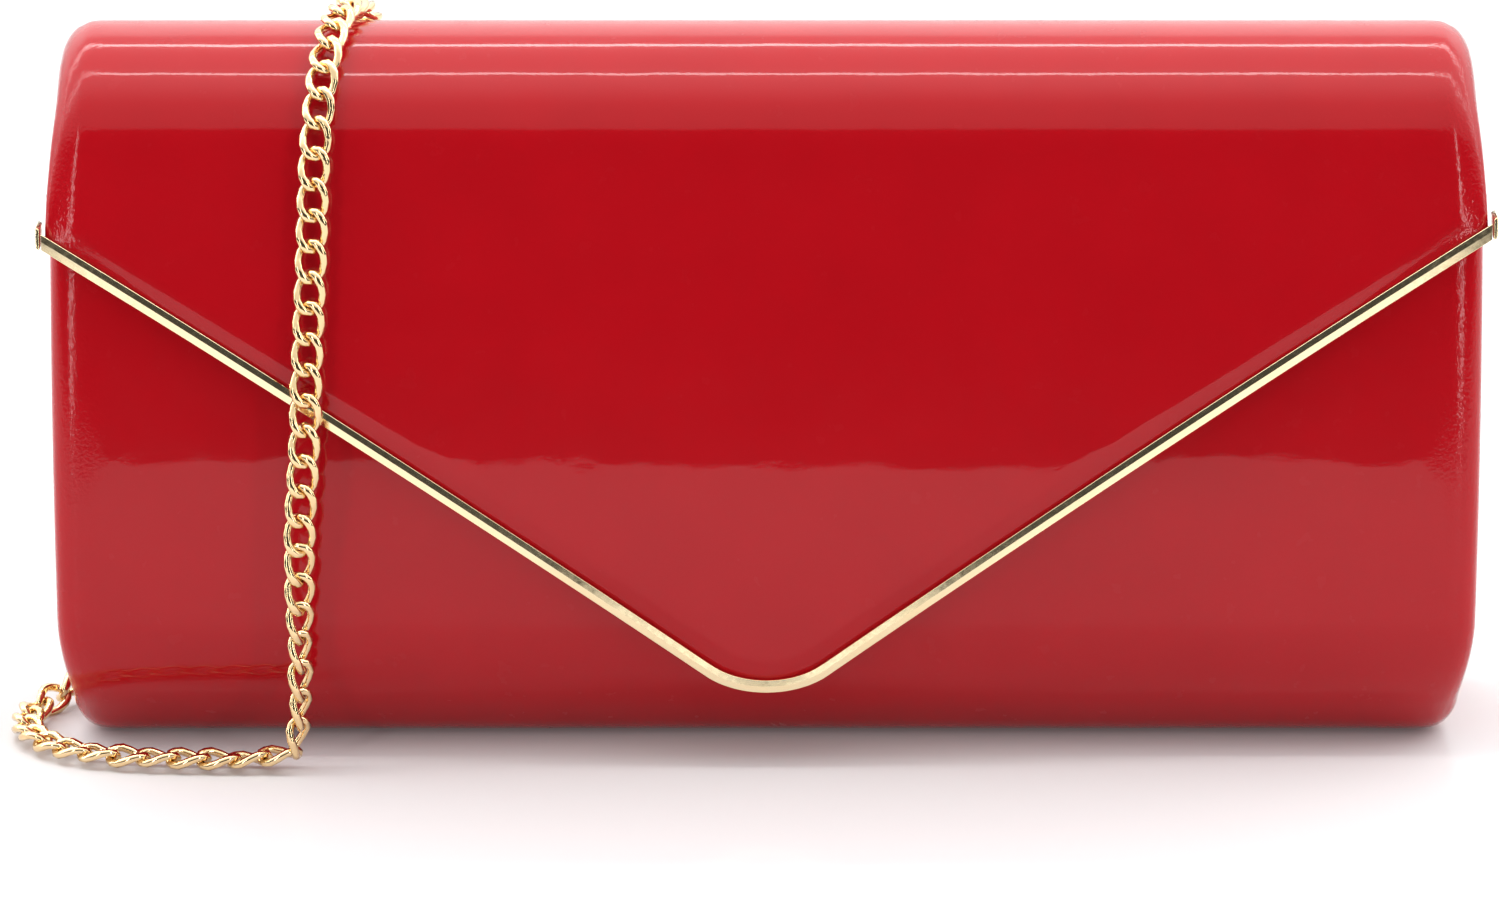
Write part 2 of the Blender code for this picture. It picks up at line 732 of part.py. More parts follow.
RIGHT_ROUTE = [
    (0.0806, 0.0390, 0.0075), (0.0860, 0.0392, 0.0042), (0.0940, 0.0391, 0.0025), (0.1040, 0.0382, 0.0027),
    (0.1150, 0.0368, 0.0042), (0.1240, 0.0340, 0.0090), (0.1304, 0.0302, 0.0165), (0.1330, 0.0248, 0.0240),
    (0.1329, 0.0185, 0.0310), (0.1308, 0.0112, 0.0390), (0.1286, 0.0050, 0.0465), (0.1276, 0.0020, 0.0540),
]


def spread(points):
    """Move a route's outer part with the ends of the bag."""
    extra = (body_length - 0.26) / 2
    return [
        (x + math.copysign(extra * min(1.0, max(0.0, (abs(x) - 0.085) / 0.035)), x), y, z)
        for x, y, z in points
    ]


def drape_route():
    """Up the front of the flap, over the roll and down the back, half a thickness off the surface."""
    off = chain_thick / 2 + GAP
    front = rounded(moved_in(flap_corners(), -off - rim_wall - GAP, False), False)
    over = [(x, depth_at(front, z), z) for x, z in OVER_X]
    reach = roll_radius + off + GAP
    roll = [
        (x, reach * math.cos(math.radians(a)), roll_height + reach * math.sin(math.radians(a)))
        for x, a in ROLL_X
    ]
    return spread(FRONT_ROUTE) + over + roll + BACK_ROUTE


def make_chain(left_end, right_end):
    """The strap: a tube where it hangs or lies free, and one solid for the hank behind the bag."""
    left = [left_end] + [p for p in spread(LEFT_ROUTE) if p[2] < left_end.z]
    wire("chain_left", smooth(left, route_spacing), chain_thick / 2, False, "gold")
    wire("chain_over", smooth(drape_route(), route_spacing), chain_thick / 2, False, "gold")
    right = [p for p in spread(RIGHT_ROUTE) if p[2] < right_end.z] + [right_end]
    wire("chain_right", smooth(right, route_spacing), chain_thick / 2, False, "gold")
    reach = hank_radius + chain_wide / 2
    low = tie + GAP
    high = low + hank_layers * chain_thick
    half = hank_run / 2
    corners = [
        (hank_x + half + reach, hank_y + reach, reach - 0.00002), (hank_x - half - reach, hank_y + reach, reach - 0.00002),
        (hank_x - half - reach, hank_y - reach, reach - 0.00002), (hank_x + half + reach, hank_y - reach, reach - 0.00002),
    ]
    bm = bmesh.new()
    face = bm.faces.new([bm.verts.new((x, y, low)) for x, y in rounded(corners, True)])
    moved = bmesh.ops.extrude_face_region(bm, geom=[face])["geom"]
    bmesh.ops.translate(
        bm, vec=(0, 0, high - low), verts=[v for v in moved if isinstance(v, bmesh.types.BMVert)]
    )
    place("chain_hank", mesh_of("chain_hank", bm), "gold")
    side = reach + GAP
    outer = [
        (hank_y - side - tie, 0.0), (hank_y + side + tie, 0.0),
        (hank_y + side + tie, high + GAP + tie), (hank_y - side - tie, high + GAP + tie),
    ]
    band = run_along("hank_tie", outer, hank_x - tie_width / 2, hank_x + tie_width / 2, "X", "tie")
    inner = block("tie_room", (-1, hank_y - side, tie), (1, hank_y + side, high + GAP), None)
    boolean(band, "DIFFERENCE", inner)


def stand_over_origin():
    """Put the middle of the bag's depth, rim included and strap left out, over the origin."""
    foremost = body_front + front_stack + GAP + rim_wall
    for thing in [*clutch.objects, *cutters.objects]:
        thing.location.y += (foremost - body_back) / 2


clear_scene()
clutch = new_collection("envelope_clutch")
cutters = new_collection("cutters")
front_panel, stiff_front = make_body()
flap_layers = make_flap()
make_snap(front_panel, stiff_front, flap_layers)
left_chain_end = make_end(-1, "left")
right_chain_end = make_end(1, "right")
make_chain(left_chain_end, right_chain_end)
stand_over_origin()
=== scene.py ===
import math

import bmesh
import bpy
import numpy as np
from mathutils import Matrix, Vector


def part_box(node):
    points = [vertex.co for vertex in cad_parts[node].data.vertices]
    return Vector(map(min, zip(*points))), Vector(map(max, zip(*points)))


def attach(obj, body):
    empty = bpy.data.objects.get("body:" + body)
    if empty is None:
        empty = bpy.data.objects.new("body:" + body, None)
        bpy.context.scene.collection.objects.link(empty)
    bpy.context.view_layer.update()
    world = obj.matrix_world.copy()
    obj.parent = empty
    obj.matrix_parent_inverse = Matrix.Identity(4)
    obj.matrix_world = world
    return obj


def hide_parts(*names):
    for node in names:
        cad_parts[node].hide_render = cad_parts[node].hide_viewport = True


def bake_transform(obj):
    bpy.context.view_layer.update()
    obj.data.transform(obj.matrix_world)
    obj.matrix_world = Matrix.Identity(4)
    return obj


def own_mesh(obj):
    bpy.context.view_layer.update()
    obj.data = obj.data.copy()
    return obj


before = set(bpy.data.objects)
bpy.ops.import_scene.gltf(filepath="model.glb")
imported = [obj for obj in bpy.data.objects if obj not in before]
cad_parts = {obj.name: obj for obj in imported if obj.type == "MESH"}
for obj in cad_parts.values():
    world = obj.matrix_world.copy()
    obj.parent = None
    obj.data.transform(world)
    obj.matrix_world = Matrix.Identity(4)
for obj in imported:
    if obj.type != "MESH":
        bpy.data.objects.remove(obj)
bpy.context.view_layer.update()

bl_info = {
    "name": "Envelope clutch",
    "version": (1, 0, 0),
    "blender": (4, 5, 0),
    "location": "3D View > Sidebar > Clutch",
    "description": "Makes a patent envelope clutch with a metal-edged flap and a curb chain",
    "category": "Object",
}

MM = 0.001
MIDDLE = 6.25 * MM  # from the roll's middle plane to the origin, which is under the middle of the depth

# The bag's section, as it was cut. Y and Z about the roll's middle plane.
ROLL_HEIGHT = 108.6 * MM
ROLL_RADIUS = 24.0 * MM
BACK = 24.0 * MM
FRONT = 30.4 * MM
STACK = 5.0 * MM  # flap and its clearance, over the front panel
LEAN = math.radians(15)
POINT_RADIUS = 19.6 * MM
POINT_CENTRE = 34.1 * MM
ARM = math.radians(33.66)
SKEW = math.radians(0.31)
ARM_RISE = 1.5 * MM
RIM_HALF = 131.4 * MM
LEATHER_HALF = 131.0 * MM
BOARD_HALF = 122.5 * MM  # of the boards, inside the leather's rounded ends
LINING_HALF = 124.5 * MM
BACK_SEAM = 12.7 * MM  # heights of the two edges of leather that meet at the back
BASE_SEAM = 12.6 * MM
BASE_TURN = 16 * MM  # height where the front begins to turn under the base
MOUTH = 107.4 * MM
LEATHER_BED = 1.5 * MM  # from the section to the underside of the leather


# ---------------------------------------------------------------- sections

def rounded(corners, chord=0.000004):
    """Points of an open section, its corners turned with their radii."""
    points = []
    for i, (y, z, radius) in enumerate(corners):
        if radius == 0 or i in (0, len(corners) - 1):
            points.append((y, z))
            continue
        here = Vector((y, z))
        back = (Vector(corners[i - 1][:2]) - here).normalized()
        ahead = (Vector(corners[i + 1][:2]) - here).normalized()
        turn = math.pi - back.angle(ahead)
        centre = here + (back + ahead).normalized() * radius / math.cos(turn / 2)
        spoke = here + back * radius * math.tan(turn / 2) - centre
        side = 1 if back.x * ahead.y - back.y * ahead.x < 0 else -1
        steps = math.ceil(turn / (2 * math.acos(1 - min(chord / radius, 0.5))))
        for k in range(steps + 1):
            spun = spoke.copy()
            spun.rotate(Matrix.Rotation(side * turn * k / steps, 2))
            points.append(tuple(centre + spun))
    return points


def leaning(radius, level):
    """A place on the upper front line, tangent to a circle about the roll's middle, at a height."""
    return (-(radius - (level - ROLL_HEIGHT) * math.sin(LEAN)) / math.cos(LEAN), level)


def knee(front, radius):
    """Where the leaning upper front meets the upright lower front."""
    level = ROLL_HEIGHT + (radius - front * math.cos(LEAN)) / math.sin(LEAN)
    return (-front, level, 278 * MM)


class Section:
    """A run of the bag's section. at(run) gives a place on it and the way out, a distance from its start."""

    def __init__(self, points, side):
        self.points = np.array(points)
        steps = np.diff(self.points, axis=0)
        lengths = np.linalg.norm(steps, axis=1)
        keep = np.append(True, lengths > 1e-9)
        self.points = self.points[keep]
        steps = np.diff(self.points, axis=0)
        lengths = np.linalg.norm(steps, axis=1)
        self.runs = np.append(0, np.cumsum(lengths))
        ways = np.stack([-steps[:, 1], steps[:, 0]], axis=1) * side / lengths[:, None]
        corners = np.vstack([ways[:1], ways[:-1] + ways[1:], ways[-1:]])
        self.ways = corners / np.linalg.norm(corners, axis=1)[:, None]
        self.side = side
        self.length = self.runs[-1]

    def at(self, run):
        place = [np.interp(run, self.runs, self.points[:, k]) for k in (0, 1)]
        way = Vector([np.interp(run, self.runs, self.ways[:, k]) for k in (0, 1)]).normalized()
        return Vector(place), way

    def run_at(self, height, last=False):
        """Where the section first, or last, passes a height."""
        levels = self.points[:, 1]
        crossing = np.nonzero((levels[:-1] - height) * (levels[1:] - height) <= 0)[0]
        i = crossing[-1 if last else 0]
        share = (height - levels[i]) / (levels[i + 1] - levels[i])
        return self.runs[i] + share * (self.runs[i + 1] - self.runs[i])


def outer_section():
    """From the ground line up the flap's front, over the roll and down the back."""
    front = FRONT + STACK
    top = ROLL_HEIGHT + ROLL_RADIUS
    corners = [
        (-front, 0.0, 0.0),
        knee(front, ROLL_RADIUS),
        (*leaning(ROLL_RADIUS, top), ROLL_RADIUS),
        (BACK, top, ROLL_RADIUS),
        (BACK, 0.0, 0.0),
    ]
    return Section(rounded(corners), 1)


def front_section():
    """From inside the mouth up and over its edge, down the front panel, under the base and up to its seam."""
    radius = ROLL_RADIUS - STACK
    inside = radius - 5.4 * MM
    reach = BASE_TURN * math.tan(math.radians(42))
    corners = [
        (*leaning(inside, 97 * MM), 0.0),
        (*leaning(inside, MOUTH), 2.2 * MM),
        (*leaning(radius, MOUTH), 2.2 * MM),
        knee(FRONT, radius),
        (-FRONT, BASE_TURN, 30 * MM),
        (-FRONT + reach, 0.0, 14 * MM),
        (BACK, 0.0, 12 * MM),
        (BACK, BASE_SEAM, 0.0),
    ]
    return Section(rounded(corners), -1)


OUTER = outer_section()
PANEL = front_section()


def ease(share):
    share = min(1.0, max(0.0, share))
    return share * share * (3 - 2 * share)


def flap_width(run):
    """How the flap widens from the roll to its corners, as a share of the width there."""
    roll = OUTER.run_at(126 * MM)
    corner = OUTER.run_at(99 * MM)
    return 1 - 1.5 / 131.2 * ease((run - corner) / (roll - corner))


def arm_bow(x):
    """How far an arm of the V stands above its straight line."""
    start = POINT_RADIUS * math.sin(ARM)
    share = max(0.0, (abs(x) - start) / (RIM_HALF - start))
    return 4 * ARM_RISE * share * (1 - share)


def leather_bow(x, run):
    """The leather follows the arms, and closes up to the rim's face at the point."""
    fade = math.exp(-max(0.0, run - POINT_CENTRE + POINT_RADIUS) / (40 * MM))
    snug = 0.9 * MM * math.exp(-((x / (9 * MM)) ** 2)) * math.exp(-((run - 16 * MM) / (10 * MM)) ** 2)
    return arm_bow(x) * min(1.0, 2 * fade) - snug


def panel_width(run):
    """How the front panel draws in round the base."""
    place, way = PANEL.at(run)
    return 1 - 2.4 / 130 * ease((-way.y - 0.08) / 0.85) if place.y < 40 * MM else 1.0


def flap_sink(x, run):
    """How far the leather rounds down at the sides: deep over the roll's ends, shallow by the rim."""
    low, high = OUTER.run_at(100 * MM), OUTER.run_at(128 * MM)
    share = ease((run - low) / (high - low))
    inward = (LEATHER_HALF - abs(x)) / MM
    deep = np.interp(inward, [0, 0.2, 0.55, 1.45, 2.7, 4.7, 7.6], [4.8, 4.0, 3.0, 1.6, 0.62, 0.10, 0])
    shallow = np.interp(inward, [0, 0.35, 0.95, 1.85, 2.75, 3.75, 5.2], [0.9, 0.62, 0.4, 0.22, 0.1, 0.03, 0])
    return (share * deep + (1 - share) * shallow) * MM


def panel_sink(x, run):
    """How far the front panel rounds down at the sides."""
    inward = (LEATHER_HALF - abs(x)) / MM
    return MM * np.interp(inward, [0, 0.1, 0.35, 0.9, 1.8, 3.0, 4.2, 5.8, 7.4],
                          [4.6, 4.0, 2.95, 2.0, 1.2, 0.6, 0.27, 0.07, 0])


# ---------------------------------------------------------------- modelling by hand

def begin(name, add, **settings):
    """A primitive added with nothing else selected, open in edit mode."""
    bpy.ops.object.select_all(action="DESELECT")
    add(**settings)
    thing = bpy.context.object
    thing.name = name
    thing.data.name = name
    bpy.ops.object.transform_apply(location=True, rotation=True, scale=True)
    bpy.ops.object.mode_set(mode="EDIT")
    bpy.ops.mesh.select_mode(type="FACE")
    bpy.ops.mesh.select_all(action="SELECT")
    return thing


def leave():
    bpy.ops.object.mode_set(mode="OBJECT")


def cut(place, way, drop=False):
    """A straight cut through all of the piece. drop takes off what lies beyond it."""
    bpy.ops.mesh.select_all(action="SELECT")
    bpy.ops.mesh.bisect(plane_co=place, plane_no=way, clear_outer=drop)


def pick(test):
    """Select the faces of the piece in hand whose middle and way out pass a test."""
    bpy.ops.mesh.select_mode(type="FACE")
    bpy.ops.mesh.select_all(action="DESELECT")
    cage = bmesh.from_edit_mesh(bpy.context.object.data)
    cage.faces.ensure_lookup_table()
    for face in cage.faces:
        face.select_set(test(face.calc_center_median(), face.normal))
    cage.select_flush_mode()
    bmesh.update_edit_mesh(bpy.context.object.data)


def rise(height):
    bpy.ops.mesh.extrude_region_move(TRANSFORM_OT_translate={"value": (0, 0, height)})


def rings(steps):
    """Rings round the selected face. Each step gives its width and how far it rises, in millimetres."""
    for width, up in steps:
        bpy.ops.mesh.inset(thickness=width * MM, depth=up * MM, use_even_offset=True)


def finish_with(thing, kind, **settings):
    """A modifier, applied at once."""
    bpy.ops.object.select_all(action="DESELECT")
    bpy.context.view_layer.objects.active = thing
    thing.select_set(True)
    step = thing.modifiers.new(kind.lower(), kind)
    for name, value in settings.items():
        setattr(step, name, value)
    bpy.ops.object.modifier_apply(modifier=step.name)


def smooth(thing, angle=35):
    bpy.ops.object.select_all(action="DESELECT")
    bpy.context.view_layer.objects.active = thing
    thing.select_set(True)
    bpy.ops.object.shade_smooth_by_angle(angle=math.radians(angle))


def wrap(thing, section, width, bow=None, sink=None):
    """Lay a flat piece over a section. X stays across, Y runs along the section and Z stands off it."""
    for vertex in thing.data.vertices:
        x, run, off = vertex.co
        if bow:
            run += bow(x, run)
        if sink:
            off -= sink(x, run)
        place, way = section.at(run)
        vertex.co = (
            x * width(run),
            place.x + way.x * off + MIDDLE,
            place.y + way.y * off,
        )
    if section.side < 0:
        thing.data.flip_normals()
    thing.data.update()


def arm_way(side):
    """The way out across one arm of the V, on the flat flap."""
    angle = side * ARM + SKEW
    return Vector((math.sin(angle), -math.cos(angle), 0))


def flat_flap(name, grow, reach, top):
    """The flap cut flat: two arms that meet in a rounded point, straight sides and a straight end."""
    thing = begin(name, bpy.ops.mesh.primitive_plane_add, size=0.8, location=(0, 0.3, 0))
    centre = Vector((0, POINT_CENTRE, 0))
    radius = POINT_RADIUS + grow
    for side in (-1, 1):
        way = arm_way(side)
        cut(centre + way * radius, way, True)
    bpy.ops.mesh.select_mode(type="VERT")
    bpy.ops.mesh.select_all(action="DESELECT")
    cage = bmesh.from_edit_mesh(thing.data)
    min(cage.verts, key=lambda v: v.co.y).select_set(True)
    bmesh.update_edit_mesh(thing.data)
    bpy.ops.mesh.bevel(
        offset_type="ABSOLUTE", offset=radius * math.tan(ARM), segments=20, profile=0.5, affect="VERTICES"
    )
    bpy.ops.mesh.select_mode(type="FACE")
    for side in (-1, 1):
        cut((side * reach, 0, 0), (side, 0, 0), True)
    cut((0, top, 0), (0, 1, 0), True)
    bpy.ops.mesh.select_all(action="SELECT")
    return thing


def cross_cuts(runs):
    for run in runs:
        cut((0, run, 0), (0, 1, 0))


def even(low, high, step):
    count = max(1, round((high - low) / step))
    return [low + (high - low) * k / count for k in range(count + 1)]


def wire_loop(name, line, radius, sides):
    """Round wire along a closed line of points."""
    bm = bmesh.new()
    points = [Vector(p) for p in line]
    count = len(points)
    hoops = []
    across = None
    for i, point in enumerate(points):
        along = (points[(i + 1) % count] - points[i - 1]).normalized()
        if across is None:
            across = along.orthogonal().normalized()
        across = (across - along * across.dot(along)).normalized()
        other = along.cross(across)
        hoops.append([
            bm.verts.new(point + radius * (across * math.cos(a) + other * math.sin(a)))
            for a in [2 * math.pi * k / sides for k in range(sides)]
        ])
    first = hoops[0][0].co - points[0]
    shift = min(range(sides), key=lambda k: (hoops[-1][k].co - points[-1] - first).length)
    for i in range(count):
        this, after = hoops[i], hoops[(i + 1) % count]
        turn = shift if i == count - 1 else 0
        for k in range(sides):
            bm.faces.new((
                this[(k + turn) % sides], this[(k + 1 + turn) % sides], after[(k + 1) % sides], after[k]
            ))
    bmesh.ops.recalc_face_normals(bm, faces=bm.faces)
    mesh = bpy.data.meshes.new(name)
    bm.to_mesh(mesh)
    bm.free()
    mesh.shade_smooth()
    thing = bpy.data.objects.new(name, mesh)
    bpy.context.scene.collection.objects.link(thing)
    return thing


def refined(node, name, bevel, segments=2, angle=30):
    """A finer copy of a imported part: merged, its flat faces joined and its edges eased."""
    thing = bpy.data.objects.new(name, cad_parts[node].data.copy())
    thing.data.name = name
    bpy.context.scene.collection.objects.link(thing)
    bpy.ops.object.select_all(action="DESELECT")
    bpy.context.view_layer.objects.active = thing
    thing.select_set(True)
    bpy.ops.object.mode_set(mode="EDIT")
    bpy.ops.mesh.select_all(action="SELECT")
    bpy.ops.mesh.remove_doubles(threshold=0.00001)
    bpy.ops.mesh.dissolve_limited(angle_limit=math.radians(1))
    leave()
    if bevel:
        finish_with(
            thing, "BEVEL", width=bevel, segments=segments, limit_method="ANGLE", angle_limit=math.radians(angle)
        )
    smooth(thing, 40)
    return thing


def narrowed(thing, half):
    """Cut a part off at both sides, clear of the leather where it rounds over."""
    bpy.ops.object.mode_set(mode="EDIT")
    for side in (-1, 1):
        bpy.ops.mesh.select_all(action="SELECT")
        bpy.ops.mesh.bisect(
            plane_co=(side * half, 0, 0), plane_no=(side, 0, 0), clear_outer=True, use_fill=True
        )
    leave()
    smooth(thing, 40)
    return thing


def settle(thing, body, nodes, material):
    """Give a finished piece its material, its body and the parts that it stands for."""
    thing.data.materials.clear()
    thing.data.materials.append(material)
    if body:
        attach(thing, body)
    if nodes:
        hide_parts(*nodes)
    return thing


# ---------------------------------------------------------------- materials

class Finish:
    """A material with its nodes added one at a time."""

    def __init__(self, name, colour, roughness, metallic=0.0):
        self.material = bpy.data.materials.new(name)
        self.material.use_nodes = True
        self.tree = self.material.node_tree
        self.shader = self.tree.nodes["Principled BSDF"]
        self.shader.inputs["Base Color"].default_value = (*colour, 1)
        self.shader.inputs["Roughness"].default_value = roughness
        self.shader.inputs["Metallic"].default_value = metallic
        self.place = self.add("ShaderNodeTexCoord").outputs["Object"]

    def add(self, kind, **settings):
        node = self.tree.nodes.new(kind)
        for name, value in settings.items():
            setattr(node, name, value)
        return node

    def link(self, socket, to):
        self.tree.links.new(socket, to)

    def noise(self, scale, detail=2.0, roughness=0.5, stretch=None):
        node = self.add("ShaderNodeTexNoise")
        node.inputs["Scale"].default_value = scale
        node.inputs["Detail"].default_value = detail
        node.inputs["Roughness"].default_value = roughness
        place = self.place
        if stretch:
            mapping = self.add("ShaderNodeMapping")
            mapping.inputs["Scale"].default_value = stretch
            self.link(place, mapping.inputs["Vector"])
            place = mapping.outputs["Vector"]
        self.link(place, node.inputs["Vector"])
        return node.outputs["Fac"]

    def spread(self, socket, low, high, to_low, to_high):
        node = self.add("ShaderNodeMapRange")
        node.inputs["From Min"].default_value = low
        node.inputs["From Max"].default_value = high
        node.inputs["To Min"].default_value = to_low
        node.inputs["To Max"].default_value = to_high
        self.link(socket, node.inputs["Value"])
        return node.outputs["Result"]

    def sum(self, operation, a, b):
        node = self.add("ShaderNodeMath", operation=operation)
        for value, entry in zip((a, b), node.inputs):
            if isinstance(value, (int, float)):
                entry.default_value = value
            else:
                self.link(value, entry)
        return node.outputs["Value"]

    def mix(self, share, a, b):
        node = self.add("ShaderNodeMix", data_type="RGBA")
        self.link(share, node.inputs["Factor"])
        node.inputs["A"].default_value = (*a, 1)
        node.inputs["B"].default_value = (*b, 1)
        return node.outputs["Result"]

    def bump(self, height, distance, before=None, strength=1.0):
        node = self.add("ShaderNodeBump")
        node.inputs["Distance"].default_value = distance
        if isinstance(strength, float):
            node.inputs["Strength"].default_value = strength
        else:
            self.link(strength, node.inputs["Strength"])
        self.link(height, node.inputs["Height"])
        if before:
            self.link(before, node.inputs["Normal"])
        return node.outputs["Normal"]


def patent(name, colour):
    """Lacquered leather: a thick rippled coat, with orange peel where it is pulled round the ends."""
    finish = Finish(name, colour, 0.22)
    deep = tuple(0.86 * c for c in colour)
    finish.link(finish.mix(finish.noise(60, 3), colour, deep), finish.shader.inputs["Base Color"])
    finish.link(finish.spread(finish.noise(240, 4), 0.3, 0.7, 0.16, 0.28), finish.shader.inputs["Roughness"])
    axes = finish.add("ShaderNodeSeparateXYZ")
    finish.link(finish.place, axes.inputs[0])
    across = finish.sum("ABSOLUTE", axes.outputs["X"], 0.0)
    ends = finish.spread(across, 0.1200, 0.1280, 0.05, 1.0)
    ripple = finish.bump(finish.noise(22, 2, 0.4, (0.6, 1, 1)), 0.00034)
    dimple = finish.bump(finish.noise(75, 2, 0.5, (0.7, 1, 1)), 0.00009, ripple)
    peel = finish.bump(finish.noise(1700, 2), 0.00007, dimple, ends)
    finish.link(peel, finish.shader.inputs["Normal"])
    finish.link(peel, finish.shader.inputs["Coat Normal"])
    finish.shader.inputs["Specular IOR Level"].default_value = 0.06
    finish.shader.inputs["Coat Weight"].default_value = 0.6
    finish.shader.inputs["Coat Roughness"].default_value = 0.015
    finish.shader.inputs["Coat IOR"].default_value = 1.45
    return finish.material


def gold(name, colour, roughness=0.14, brushed=None):
    """Plated metal with faint polishing marks and a slight change of tone."""
    finish = Finish(name, colour, roughness, 1.0)
    warm = (colour[0], colour[1] * 0.93, colour[2] * 0.82)
    finish.link(finish.mix(finish.noise(130, 3), colour, warm), finish.shader.inputs["Base Color"])
    rub = finish.noise(900, 3, 0.6, brushed)
    finish.link(finish.spread(rub, 0.3, 0.7, roughness * 0.6, roughness * 1.5), finish.shader.inputs["Roughness"])
    finish.link(finish.bump(rub, 0.000004), finish.shader.inputs["Normal"])
    return finish.material


def cloth(name, colour, pitch=0.0006):
    """Woven lining: two crossing threads in relief, and a soft sheen."""
    finish = Finish(name, colour, 0.62)
    waves = []
    for way in ("X", "Z"):
        wave = finish.add("ShaderNodeTexWave", bands_direction=way)
        wave.inputs["Scale"].default_value = 1 / (pitch * 20)
        wave.inputs["Distortion"].default_value = 0.4
        finish.link(finish.place, wave.inputs["Vector"])
        waves.append(wave.outputs["Fac"])
    weave = finish.sum("MULTIPLY", *waves)
    light = tuple(min(1.0, c * 1.5) for c in colour)
    finish.link(finish.mix(finish.sum("MULTIPLY", weave, finish.noise(90, 3)), colour, light),
                finish.shader.inputs["Base Color"])
    finish.link(finish.bump(weave, 0.00006), finish.shader.inputs["Normal"])
    finish.shader.inputs["Sheen Weight"].default_value = 0.3
    return finish.material


def card(name, colour):
    """Pressed board with loose fibres."""
    finish = Finish(name, colour, 0.85)
    fibre = finish.noise(500, 5, 0.7, (0.3, 1, 1))
    pale = tuple(min(1.0, c * 1.25) for c in colour)
    finish.link(finish.mix(fibre, colour, pale), finish.shader.inputs["Base Color"])
    finish.link(finish.bump(fibre, 0.00005), finish.shader.inputs["Normal"])
    return finish.material


RED = (0.40, 0.0030, 0.0078)
RIM_GOLD = (0.94, 0.82, 0.54)
CHAIN_GOLD = (0.84, 0.645, 0.38)


# ---------------------------------------------------------------- chain

# Routes of the chain's centre line as it was packed. X, Y and Z, in millimetres.
LEFT_ROUTE = [
    (-127.6, 2.0, 62.0), (-127.6, 2.0, 54.0), (-127.6, 2.2, 38.0), (-127.5, 2.7, 23.0), (-127.6, 3.1, 13.0),
    (-128.6, 3.0, 7.6), (-130.8, 2.1, 4.6), (-133.6, 0.0, 2.8), (-136.4, -3.8, 2.3), (-138.3, -9.6, 2.3),
    (-138.4, -16.2, 2.3), (-136.4, -22.6, 2.3), (-131.8, -28.8, 2.3), (-125.6, -32.8, 2.3), (-116.0, -35.4, 2.3),
    (-106.0, -36.3, 2.3), (-98.0, -36.6, 2.3), (-91.5, -36.7, 2.5), (-86.8, -36.8, 4.0),
]
OVER_ROUTE = [
    (-86.8, -36.8, 4.0), (-85.6, -37.2, 9.5), (-85.3, -37.6, 20.0), (-85.1, -38.0, 35.0), (-84.8, -38.2, 48.0),
]
OVER_FRONT = [(-83.9, 60.0), (-83.1, 78.0), (-82.3, 96.0), (-81.7, 113.0)]
OVER_ROLL = [(-81.0, 150), (-79.8, 122), (-77.7, 95), (-75.2, 65), (-73.0, 35), (-71.1, 5)]
BACK_ROUTE = [
    (-68.5, 26.6, 94.0), (-65.0, 26.6, 74.0), (-61.0, 26.6, 52.0), (-57.0, 26.7, 31.0), (-54.0, 27.5, 15.0),
    (-51.0, 30.0, 6.2), (-45.5, 33.5, 2.6), (-35.0, 34.8, 2.4), (-19.7, 34.5, 2.6),
]
RIGHT_ROUTE = [
    (80.6, 39.0, 7.5), (86.0, 39.2, 4.2), (94.0, 39.1, 2.5), (104.0, 38.2, 2.7), (115.0, 36.8, 4.2),
    (124.0, 34.0, 9.0), (130.4, 30.2, 16.5), (133.0, 24.8, 24.0), (132.9, 18.5, 31.0), (130.8, 11.2, 39.0),
    (128.6, 5.0, 46.5), (127.6, 2.0, 54.0), (127.6, 2.0, 62.0),
]
LINK_PITCH = 5.6 * MM
LINK_LENGTH = 3.6 * MM  # half of a link's centre line
LINK_WIDTH = 2.35 * MM
LINK_TWIST = math.radians(42)
LINK_WIRE = 0.8 * MM
LINK_FLAT = 1.38 * MM  # from the middle of a link to the flats ground on it
HANK_RISE = 4.4 * MM  # from one turn of the hank to the next


def over_route():
    """The chain up the flap's front, over the roll and down the back."""
    off = 3.6 * MM
    points = [Vector(p) * MM for p in OVER_ROUTE]
    for x, z in OVER_FRONT:
        place, way = OUTER.at(OUTER.run_at(z * MM))
        points.append(Vector((x * MM, place.x + way.x * off, z * MM)))
    reach = ROLL_RADIUS + 2.8 * MM
    for x, turn in OVER_ROLL:
        turn = math.radians(turn)
        points.append(Vector((x * MM, reach * math.cos(turn), ROLL_HEIGHT + reach * math.sin(turn))))
    return points + [Vector(p) * MM for p in BACK_ROUTE]


